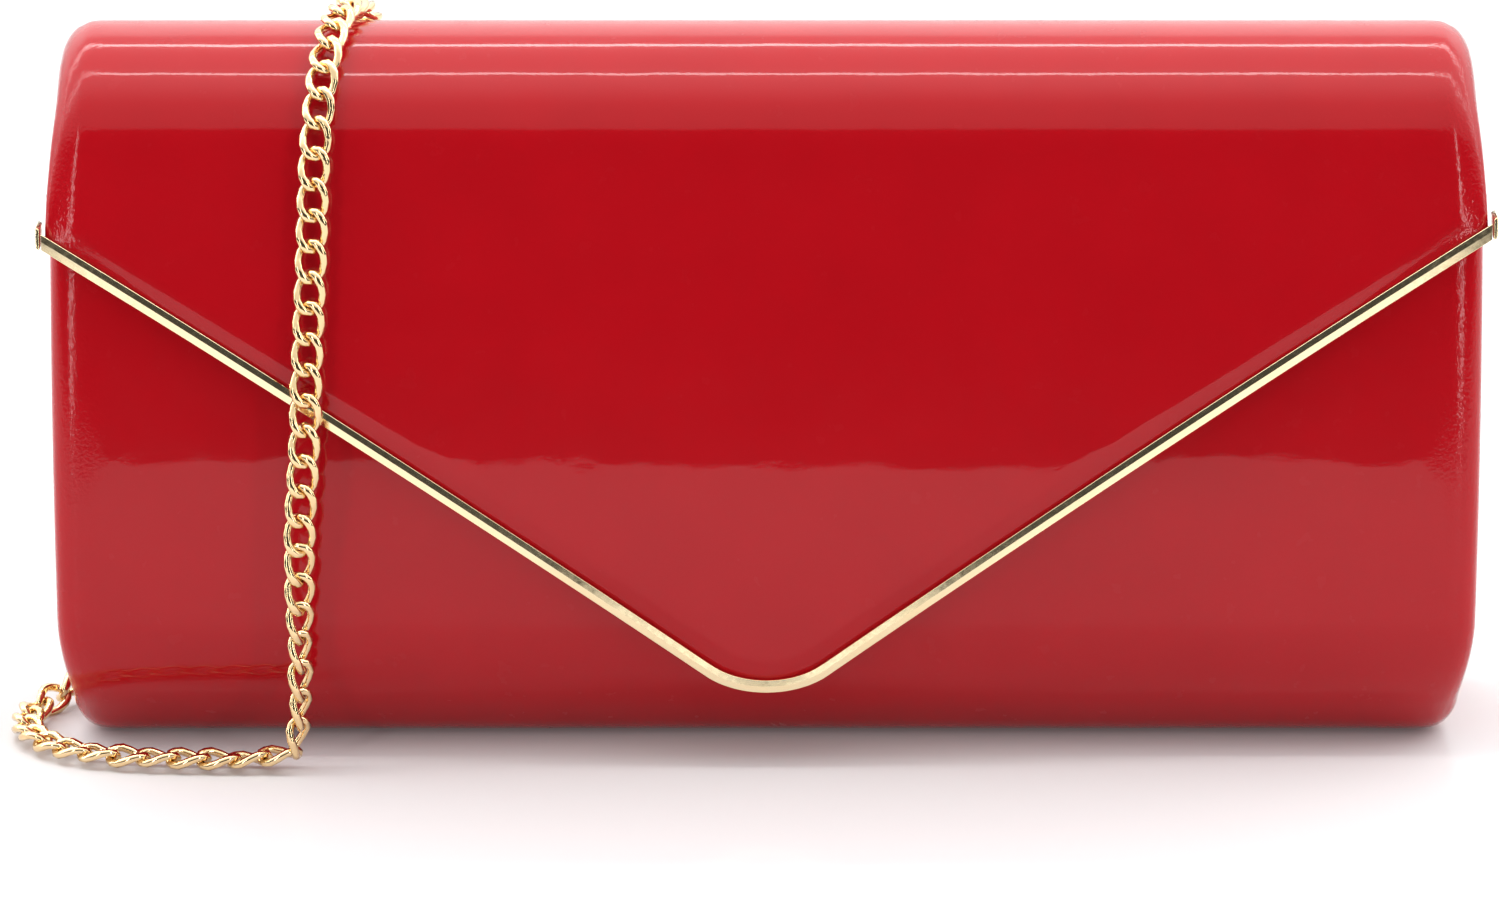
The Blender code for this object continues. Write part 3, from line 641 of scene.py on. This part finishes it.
def hank_route():
    """Three turns of a racetrack, one on another, behind the bag."""
    middle, across, half, radius = 29 * MM, 47.5 * MM, 36 * MM, 13 * MM
    points = [Vector(BACK_ROUTE[-1]) * MM, Vector((-13.5 * MM, 34.5 * MM, 3.1 * MM))]
    for turn in range(3):
        low = 3.1 * MM + HANK_RISE * turn
        front = [Vector((middle + half * k, across - radius, low)) for k in (-0.9, -0.45, 0, 0.45, 0.9)]
        points += front
        if turn == 2:
            break
        for k in range(1, 8):
            angle = -math.pi / 2 + math.pi * k / 8
            points.append(Vector((
                middle + half + radius * math.cos(angle), across + radius * math.sin(angle), low
            )))
        points += [Vector((middle - half * k, across + radius, low)) for k in (-0.9, -0.45, 0, 0.45, 0.9)]
        for k in range(1, 8):
            angle = math.pi / 2 + math.pi * k / 8
            points.append(Vector((
                middle - half + radius * math.cos(angle),
                across + radius * math.sin(angle),
                low + HANK_RISE * k / 8,
            )))
    leaving = [(70.0, 35.5, 11.2), (76.0, 37.8, 9.4), RIGHT_ROUTE[0]]
    return points + [Vector(p) * MM for p in leaving]


def even_steps(points, spacing):
    """A smooth curve through a route, read off at even steps, and its points moved over the origin."""
    ends = [2 * points[0] - points[1]] + points + [2 * points[-1] - points[-2]]
    fine = []
    for a, b, c, d in zip(ends, ends[1:], ends[2:], ends[3:]):
        for k in range(24):
            t = k / 24
            fine.append(0.5 * (
                2 * b + (c - a) * t + (2 * a - 5 * b + 4 * c - d) * t * t
                + (3 * b - a - 3 * c + d) * t ** 3
            ))
    fine.append(points[-1])
    fine = np.array([(p.x, p.y + MIDDLE, p.z) for p in fine])
    runs = np.append(0, np.cumsum(np.linalg.norm(np.diff(fine, axis=0), axis=1)))
    count = max(2, round(runs[-1] / spacing))
    wanted = np.linspace(0, runs[-1], count + 1)
    return [Vector(p) for p in np.stack([np.interp(wanted, runs, fine[:, k]) for k in range(3)], axis=1)], runs[-1]


def link_line(points_round):
    """One curb link: a long oval, twisted so that its ends pass through its neighbours'."""
    line = []
    for k in range(points_round):
        angle = 2 * math.pi * k / points_round
        along = LINK_LENGTH * math.copysign(abs(math.cos(angle)) ** 0.85, math.cos(angle))
        side = LINK_WIDTH * math.copysign(abs(math.sin(angle)) ** 0.85, math.sin(angle))
        turn = -LINK_TWIST * along / LINK_LENGTH
        line.append((along, side * math.cos(turn), side * math.sin(turn)))
    return line


def chain_piece(name, route, width_way, sides=6, points_round=12):
    """Links along a route. width_way gives, for a place, which way their width lies."""
    path, _ = even_steps(route, LINK_PITCH)
    count = len(path) - 1
    model = wire_loop("link", link_line(points_round), LINK_WIRE, sides)
    for vertex in model.data.vertices:
        vertex.co.z = min(LINK_FLAT, max(-LINK_FLAT, vertex.co.z))
    bm = bmesh.new()
    for i in range(count):
        middle = path[i].lerp(path[i + 1], 0.5)
        along = (path[min(count, i + 2)] - path[max(0, i - 1)]).normalized()
        across = Vector(width_way(middle))
        across = (across - along * across.dot(along)).normalized()
        frame_here = Matrix((along, across, along.cross(across))).transposed()
        frame_here = frame_here @ Matrix.Rotation(math.radians(7) * math.sin(2.4 * i), 3, "X")
        place = Matrix.Translation(middle) @ frame_here.to_4x4()
        link = model.data.copy()
        link.transform(place)
        bm.from_mesh(link)
        bpy.data.meshes.remove(link)
    bpy.data.objects.remove(model)
    mesh = bpy.data.meshes.new(name)
    bm.to_mesh(mesh)
    bm.free()
    mesh.shade_smooth()
    thing = bpy.data.objects.new(name, mesh)
    bpy.context.scene.collection.objects.link(thing)
    fine, length = even_steps(route, 2 * MM)
    return thing, fine, length


# ---------------------------------------------------------------- operators

RING_OUT = 125.6 * MM  # of a D-ring's straight side: out from the middle, its depth and its height
RING_Y = 2 * MM
RING_HEIGHT = 94 * MM
RING_TILT = math.radians(10)
RING_HALF = 7 * MM
RING_DROP = 11 * MM
RING_WIRE = 1.0 * MM

CAMERA_HEIGHT = math.radians(16)
CAMERA_AWAY = 1.15
CAMERA_AIM = Vector((-3.1, -29.15, 60.96)) * MM
CAMERA_LENS = 152.1

# How bright the room is, by the angle from straight ahead of the bag, in degrees, over the top to behind it.
ROOM_TONES = [
    (0.0, 0.10), (6.0, 0.06), (30.5, 0.06), (33.0, 0.95), (55.0, 1.1), (74.0, 2.2), (83.2, 2.3),
    (83.5, 16.0), (85.3, 16.0), (85.7, 2.2), (118.0, 1.9), (118.6, 15.0), (121.3, 15.0), (121.9, 1.4),
    (133.0, 1.5), (138.0, 2.3), (165.0, 1.5), (180.0, 1.0),
]


class ClutchSizes(bpy.types.PropertyGroup):
    skin: bpy.props.FloatProperty(
        name="Leather", description="Thickness of the lacquered leather", default=0.9 * MM, unit="LENGTH"
    )
    flap_reach: bpy.props.FloatProperty(
        name="Flap half width", description="From the middle to the flap's side, at its corners",
        default=LEATHER_HALF, unit="LENGTH"
    )
    rim_reach: bpy.props.FloatProperty(
        name="Rim half width", description="From the middle to the end of the metal rim",
        default=RIM_HALF, unit="LENGTH"
    )
    rim_proud: bpy.props.FloatProperty(
        name="Rim height", description="How far the metal rim stands above the flap",
        default=0.60 * MM, unit="LENGTH"
    )
    red: bpy.props.FloatVectorProperty(
        name="Leather colour", description="Colour under the lacquer", subtype="COLOR", size=3,
        min=0, max=1, default=RED
    )
    rim_gold: bpy.props.FloatVectorProperty(
        name="Rim colour", description="Colour of the plated rim and hardware", subtype="COLOR", size=3,
        min=0, max=1, default=RIM_GOLD
    )
    chain_gold: bpy.props.FloatVectorProperty(
        name="Chain colour", description="Colour of the plated chain", subtype="COLOR", size=3,
        min=0, max=1, default=CHAIN_GOLD
    )


class CLUTCH_OT_stage(bpy.types.Operator):
    """Floor, soft room light and the camera"""
    bl_idname = "clutch.stage"
    bl_label = "Stage"

    def execute(self, context):
        scene = context.scene
        bpy.ops.object.select_all(action="DESELECT")
        bpy.ops.mesh.primitive_plane_add(size=1, location=(0, 0, 0))
        floor = context.object
        floor.name = "floor"
        for vertex, (x, y) in zip(floor.data.vertices, ((-4, -0.62), (4, -0.62), (-4, 6), (4, 6))):
            vertex.co = (x, y, -0.0002)
        finish = Finish("pale_floor", (0.60, 0.59, 0.593), 0.6)
        finish.shader.inputs["Specular IOR Level"].default_value = 0.0
        finish.link(finish.mix(finish.noise(3, 2), (0.605, 0.592, 0.596), (0.595, 0.582, 0.586)),
                    finish.shader.inputs["Base Color"])
        finish.shader.inputs["Emission Color"].default_value = (1, 0.93, 0.945, 1)
        finish.shader.inputs["Emission Strength"].default_value = 0.07
        gloss = finish.add("ShaderNodeBsdfGlossy")
        gloss.inputs["Roughness"].default_value = 0.06
        both = finish.add("ShaderNodeMixShader")
        both.inputs[0].default_value = 0.045
        finish.link(finish.shader.outputs[0], both.inputs[1])
        finish.link(gloss.outputs[0], both.inputs[2])
        finish.link(both.outputs[0], finish.tree.nodes["Material Output"].inputs["Surface"])
        floor.data.materials.append(finish.material)

        world = bpy.data.worlds.new("room")
        scene.world = world
        world.use_nodes = True
        tree = world.node_tree
        tree.nodes.clear()

        def add(kind, **settings):
            node = tree.nodes.new(kind)
            for name, value in settings.items():
                setattr(node, name, value)
            return node

        place = add("ShaderNodeTexCoord")
        axes = add("ShaderNodeSeparateXYZ")
        tree.links.new(place.outputs["Generated"], axes.inputs[0])
        ahead = add("ShaderNodeMath", operation="MULTIPLY")
        ahead.inputs[1].default_value = -1
        tree.links.new(axes.outputs["Y"], ahead.inputs[0])
        turn = add("ShaderNodeMath", operation="ARCTAN2")
        tree.links.new(axes.outputs["Z"], turn.inputs[0])
        tree.links.new(ahead.outputs[0], turn.inputs[1])
        share = add("ShaderNodeMath", operation="DIVIDE")
        share.inputs[1].default_value = math.pi
        tree.links.new(turn.outputs[0], share.inputs[0])
        ramp = add("ShaderNodeValToRGB")
        stops = ramp.color_ramp.elements
        while len(stops) < len(ROOM_TONES):
            stops.new(0.5)
        for stop, (angle, tone) in zip(stops, ROOM_TONES):
            stop.position = angle / 180
            stop.color = (tone, tone, tone, 1)
        tree.links.new(share.outputs[0], ramp.inputs[0])
        room = add("ShaderNodeBackground")
        tree.links.new(ramp.outputs["Color"], room.inputs["Color"])
        backdrop = add("ShaderNodeBackground")
        backdrop.inputs["Color"].default_value = (1, 1, 1, 1)
        ray = add("ShaderNodeLightPath")
        choice = add("ShaderNodeMixShader")
        tree.links.new(ray.outputs["Is Camera Ray"], choice.inputs[0])
        tree.links.new(room.outputs[0], choice.inputs[1])
        tree.links.new(backdrop.outputs[0], choice.inputs[2])
        output = add("ShaderNodeOutputWorld")
        tree.links.new(choice.outputs[0], output.inputs["Surface"])

        for name, side in (("left_softbox", -1), ("right_softbox", 1)):
            light = bpy.data.lights.new(name, "AREA")
            light.shape = "RECTANGLE"
            light.size = 0.09
            light.size_y = 0.8
            light.energy = 2.6
            lamp = bpy.data.objects.new(name, light)
            scene.collection.objects.link(lamp)
            lamp.location = (side * 0.75, -1.15, 0.40)
            lamp.rotation_euler = (Vector((0, 0, 0.06)) - lamp.location).to_track_quat("-Z", "Y").to_euler()

        camera = bpy.data.objects.new("camera", bpy.data.cameras.new("camera"))
        scene.collection.objects.link(camera)
        camera.data.lens = CAMERA_LENS
        camera.data.clip_start = 0.05
        away = Vector((0, -math.cos(CAMERA_HEIGHT), math.sin(CAMERA_HEIGHT)))
        camera.location = CAMERA_AIM + away * CAMERA_AWAY
        camera.rotation_euler = (-away).to_track_quat("-Z", "Y").to_euler()
        scene.camera = camera
        scene.view_settings.view_transform = "Standard"
        return {"FINISHED"}


class CLUTCH_OT_chain(bpy.types.Operator):
    """Curb chain: along the floor, over the flap, in a hank behind, and up to both clasps"""
    bl_idname = "clutch.chain"
    bl_label = "Chain"

    def execute(self, context):
        metal = gold("chain_gold", tuple(context.scene.clutch_sizes.chain_gold), 0.09)

        def left_way(place):
            down = ease((place.z - 3 * MM) / (12 * MM))
            return (down * 0.15 + (1 - down) * 0.9, 1 - 0.1 * down, 0)

        def over_way(place):
            if place.y > 0.03:
                return (1, 0, 0) if place.z > 8 * MM else (0, 1, 0)
            turn = math.radians(66) * (1 - ease((place.z - 14 * MM) / (42 * MM)))
            return (math.cos(turn), math.sin(turn), 0)

        def hank_way(place):
            nearest = min(max(place.x, -7 * MM), 65 * MM)
            return (place.x - nearest, place.y - 53.75 * MM, 0)

        left_route = [Vector(p) * MM for p in LEFT_ROUTE]
        left, path, length = chain_piece("chain_floor_run", left_route, left_way, 8, 16)
        settle(left, None, ["chain_left"], metal)
        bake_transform(left)
        over, path, length = chain_piece("chain_drape", over_route(), over_way, 8, 16)
        settle(over, "bag", ["chain_over"], metal)
        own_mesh(over)
        hank, path, length = chain_piece("chain_in_hank", hank_route(), hank_way)
        settle(hank, "bag", ["chain_hank"], metal)
        right_route = [Vector(p) * MM for p in RIGHT_ROUTE]
        right, path, length = chain_piece("chain_right_run", right_route, lambda place: (0.25, 1, 0))
        settle(right, None, ["chain_right"], metal)
        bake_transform(right)
        band = refined("hank_tie", "hank_band", 0.15 * MM)
        finish = Finish("clear_band", (0.80, 0.79, 0.76), 0.35)
        finish.link(finish.bump(finish.noise(700, 2), 0.00002), finish.shader.inputs["Normal"])
        settle(band, "bag", ["hank_tie"], finish.material)
        return {"FINISHED"}


class CLUTCH_OT_back_and_flap(bpy.types.Operator):
    """One piece of patent leather: up the back, over the roll and down to the flap's point"""
    bl_idname = "clutch.back_and_flap"
    bl_label = "Back and flap leather"

    def execute(self, context):
        sizes = context.scene.clutch_sizes
        seam = OUTER.run_at(BACK_SEAM, last=True)
        thing = flat_flap("back_and_flap_leather", -0.5 * MM, sizes.flap_reach, seam + 10 * MM)
        bpy.ops.transform.translate(value=(0, 0, -3.0 * MM))
        rise(1.5 * MM)
        rings([
            (0.10, 0.30), (0.25, 0.26), (0.6, 0.16), (0.9, 0.08), (0.9, 0.10), (1.0, 0.21), (0.8, 0.19),
            (0.6, 0.11), (0.5, 0.06), (0.7, 0.03), (1.2, 0.0),
        ])
        pick(lambda middle, way: way.z < -0.5)
        bpy.ops.mesh.delete(type="FACE")
        cut((0, seam, 0), (0, 1, 0), True)
        runs = even(14 * MM, OUTER.run_at(112 * MM), 4 * MM)
        runs += even(OUTER.run_at(112 * MM), OUTER.run_at(109 * MM, last=True), 1.5 * MM)
        runs += even(OUTER.run_at(109 * MM, last=True), OUTER.run_at(98 * MM, last=True), 0.8 * MM)
        runs += even(OUTER.run_at(98 * MM, last=True), seam, 9 * MM)
        cross_cuts(sorted(set(runs)))
        leave()
        finish_with(thing, "SOLIDIFY", thickness=sizes.skin, offset=-1)
        wrap(thing, OUTER, flap_width, leather_bow, flap_sink)
        smooth(thing, 50)
        settle(thing, None, ["flap_cover"], patent("red_patent", tuple(sizes.red)))
        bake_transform(thing)
        return {"FINISHED"}


class CLUTCH_OT_front_and_base(bpy.types.Operator):
    """Patent leather turned over the mouth, down the front and under the base"""
    bl_idname = "clutch.front_and_base"
    bl_label = "Front and base leather"

    def execute(self, context):
        sizes = context.scene.clutch_sizes
        thing = begin("front_and_base_leather", bpy.ops.mesh.primitive_plane_add, size=1)
        whole = PANEL.length + 10 * MM
        bpy.ops.transform.resize(value=(2 * LEATHER_HALF, whole, 1))
        bpy.ops.transform.translate(value=(0, whole / 2, -LEATHER_BED))
        fold = PANEL.run_at(105.2 * MM)
        cut((0, fold, 0), (0, 1, 0))
        for side in (-1, 1):
            cut((side * 120.8 * MM, 0, 0), (1, 0, 0))
        pick(lambda middle, way: middle.y < fold and abs(middle.x) > 120.9 * MM)
        bpy.ops.mesh.delete(type="FACE")
        bpy.ops.mesh.select_all(action="SELECT")
        bpy.ops.mesh.dissolve_faces()
        bpy.ops.mesh.select_all(action="SELECT")
        rise(0.6 * MM)
        rings([(0.10, 0.35), (0.25, 0.25), (0.55, 0.16), (0.9, 0.09), (1.2, 0.05), (1.2, 0), (1.6, 0), (1.6, 0)])
        pick(lambda middle, way: way.z < -0.5)
        bpy.ops.mesh.delete(type="FACE")
        cut((0, PANEL.length, 0), (0, 1, 0), True)
        front = PANEL.runs[np.argmin(PANEL.points[:, 0])]
        mouth_end = PANEL.runs[np.argmax(PANEL.points[:, 1])]
        runs = even(0.5 * MM, mouth_end - 4 * MM, 3 * MM) + even(mouth_end - 4 * MM, mouth_end + 7 * MM, 0.5 * MM)
        runs += even(mouth_end + 7 * MM, front, 4 * MM) + even(front, PANEL.length - 0.5 * MM, 1.6 * MM)
        cross_cuts(sorted(set(runs)))
        leave()
        finish_with(thing, "SOLIDIFY", thickness=sizes.skin, offset=-1)
        wrap(thing, PANEL, panel_width, sink=panel_sink)
        smooth(thing, 50)
        settle(thing, "bag", ["body_cover"], bpy.data.materials["red_patent"])
        return {"FINISHED"}


class CLUTCH_OT_rim(bpy.types.Operator):
    """Metal channel along the V, with its face, its inner bevel and its end caps"""
    bl_idname = "clutch.rim"
    bl_label = "Metal rim"

    def execute(self, context):
        sizes = context.scene.clutch_sizes
        thing = flat_flap("flap_rim_channel", 0.0, 150 * MM, 150 * MM)
        bpy.ops.transform.translate(value=(0, 0, -4.1 * MM))
        rise(4.1 * MM + sizes.rim_proud - 0.33 * MM)
        rings([(0.05, 0.06), (1.22, 0.27), (0.07, -0.01), (0.95, -0.14), (0.07, -0.05), (0.04, -0.9)])
        bpy.ops.mesh.delete(type="FACE")
        pick(lambda middle, way: way.z < -0.5)
        rings([(2.0, 0.0)])
        bpy.ops.mesh.delete(type="FACE")
        for side in (-1, 1):
            cut((side * sizes.rim_reach, 0, 0), (side, 0, 0), True)
        cut((0, 122 * MM, 0), (0, 1, 0), True)
        cross_cuts(even(14.7 * MM, 104 * MM, 3 * MM))
        leave()
        finish_with(thing, "SOLIDIFY", thickness=0.3 * MM, offset=-1)
        wrap(thing, OUTER, lambda run: 1.0, lambda x, run: arm_bow(x))
        smooth(thing, 12)
        metal = gold("rim_gold", tuple(sizes.rim_gold), 0.13)
        settle(thing, "flap", ["flap_rim"], metal)
        for word in ("left", "right"):
            cap = refined("rim_end_" + word, "rim_cap_" + word, 0.18 * MM, 3)
            settle(cap, "flap", ["rim_end_" + word], metal)
        return {"FINISHED"}


class CLUTCH_OT_ends(bpy.types.Operator):
    """End panels with eased edges, set back from the covers"""
    bl_idname = "clutch.ends"
    bl_label = "End panels"

    def execute(self, context):
        for side, word in ((-1, "left"), (1, "right")):
            panel = refined(word + "_gusset", word + "_end_panel", 0)
            bpy.ops.object.mode_set(mode="EDIT")
            pick(lambda middle, way: way.x * side > 0.5)
            rings([(0.5, 0.35), (0.9, 0.25), (1.6, 0.12), (4.0, 0.05)])
            leave()
            smooth(panel, 30)
            settle(panel, "bag", [word + "_gusset"], bpy.data.materials["red_patent"])
        return {"FINISHED"}


class CLUTCH_OT_linings(bpy.types.Operator):
    """Linings, pocket, boards and the strip inside the fold"""
    bl_idname = "clutch.linings"
    bl_label = "Linings and boards"

    def execute(self, context):
        satin = cloth("dark_lining", (0.035, 0.026, 0.024))
        for node, name, body in (
            ("flap_lining", "flap_lining_cloth", "flap"),
            ("body_lining", "bag_lining_cloth", "bag"),
            ("slip_pocket", "slip_pocket_cloth", "bag"),
            ("fold_strip", "fold_strip_cloth", "bag"),
        ):
            part = refined(node, name, 0.12 * MM)
            if node == "flap_lining":
                narrowed(part, LINING_HALF)
            settle(part, body, [node], satin)
        board = card("pressed_board", (0.33, 0.27, 0.20))
        for node, body in (
            ("front_board", "bag"), ("base_board", "bag"), ("back_board", "bag"), ("flap_board", "flap")
        ):
            part = narrowed(refined(node, node + "_core", 0), BOARD_HALF)
            settle(part, body, [node], board)
        return {"FINISHED"}


class CLUTCH_OT_hardware(bpy.types.Operator):
    """Snap, ring tabs, D-rings and clasps"""
    bl_idname = "clutch.hardware"
    bl_label = "Hardware"

    def execute(self, context):
        sizes = context.scene.clutch_sizes
        metal = gold("hardware_gold", tuple(sizes.chain_gold), 0.13)
        bright = bpy.data.materials["rim_gold"]
        steel = gold("stamped_steel", (0.56, 0.56, 0.57), 0.3)
        dark = gold("magnet_grey", (0.10, 0.10, 0.11), 0.45)
        for node, name, body, slot, material in (
            ("snap_cup", "snap_cup_shell", "bag", "gold", bright),
            ("snap_stud", "snap_stud_head", "flap", "gold", bright),
            ("snap_cup_washer", "snap_back_plate", "bag", "steel", steel),
            ("snap_stud_washer", "snap_stud_plate", "flap", "steel", steel),
            ("snap_magnet", "snap_magnet_disc", "bag", "magnet", dark),
        ):
            settle(refined(node, name, 0.07 * MM), body, [node], material)
        for side, word in ((-1, "left"), (1, "right")):
            red = bpy.data.materials["red_patent"]
            tab = refined("ring_tab_" + word, word + "_ring_tab", 0.2 * MM)
            settle(tab, "bag", ["ring_tab_" + word], red)
            rivet = refined("tab_rivet_" + word, word + "_tab_rivet", 0.3 * MM, 3)
            settle(rivet, "bag", ["tab_rivet_" + word], metal)
            clasp = refined("clasp_" + word, word + "_clasp_claw", 0.3 * MM, 3)
            settle(clasp, word + "_clasp", ["clasp_" + word], metal)
            gate = refined("clasp_gate_" + word, word + "_clasp_gate_lever", 0.15 * MM)
            settle(gate, word + "_gate", ["clasp_gate_" + word], metal)
            top = Vector((side * RING_OUT, RING_Y + MIDDLE, RING_HEIGHT))
            down = Vector((side * math.sin(RING_TILT), 0, -math.cos(RING_TILT)))
            line = []
            for k in range(29):
                angle = math.pi * k / 28
                line.append(
                    top - Vector((0, RING_HALF * math.cos(angle), 0)) + down * RING_DROP * math.sin(angle)
                )
            line += [top + Vector((0, RING_HALF * k, 0)) for k in (0.75, 0.4, 0, -0.4, -0.75)]
            ring = wire_loop(word + "_d_ring_wire", line, RING_WIRE, 12)
            settle(ring, word + "_ring", ["d_ring_" + word], metal)
            low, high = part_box("link_ring_" + word)
            middle = (low + high) / 2
            line = [
                middle + 2.6 * MM * Vector((0, math.cos(2 * math.pi * k / 28), math.sin(2 * math.pi * k / 28)))
                for k in range(28)
            ]
            ring = wire_loop(word + "_link_ring_wire", line, 0.6 * MM, 10)
            settle(ring, word + "_clasp", ["link_ring_" + word], metal)
        return {"FINISHED"}


class CLUTCH_PT_panel(bpy.types.Panel):
    bl_label = "Envelope clutch"
    bl_idname = "CLUTCH_PT_panel"
    bl_space_type = "VIEW_3D"
    bl_region_type = "UI"
    bl_category = "Clutch"

    def draw(self, context):
        sizes = context.scene.clutch_sizes
        for name in ClutchSizes.__annotations__:
            self.layout.prop(sizes, name)
        for step in STEPS:
            self.layout.operator(step.bl_idname)


STEPS = (
    CLUTCH_OT_stage,
    CLUTCH_OT_chain,
    CLUTCH_OT_back_and_flap,
    CLUTCH_OT_front_and_base,
    CLUTCH_OT_rim,
    CLUTCH_OT_ends,
    CLUTCH_OT_linings,
    CLUTCH_OT_hardware,
)


def register():
    for item in (ClutchSizes, *STEPS, CLUTCH_PT_panel):
        bpy.utils.register_class(item)
    bpy.types.Scene.clutch_sizes = bpy.props.PointerProperty(type=ClutchSizes)


def unregister():
    del bpy.types.Scene.clutch_sizes
    for item in (CLUTCH_PT_panel, *reversed(STEPS), ClutchSizes):
        bpy.utils.unregister_class(item)


def main():
    register()
    bpy.ops.clutch.stage()
    bpy.ops.clutch.chain()
    bpy.ops.clutch.back_and_flap()
    bpy.ops.clutch.front_and_base()
    bpy.ops.clutch.rim()
    bpy.ops.clutch.ends()
    bpy.ops.clutch.linings()
    bpy.ops.clutch.hardware()


if __name__ == "__main__":
    main()
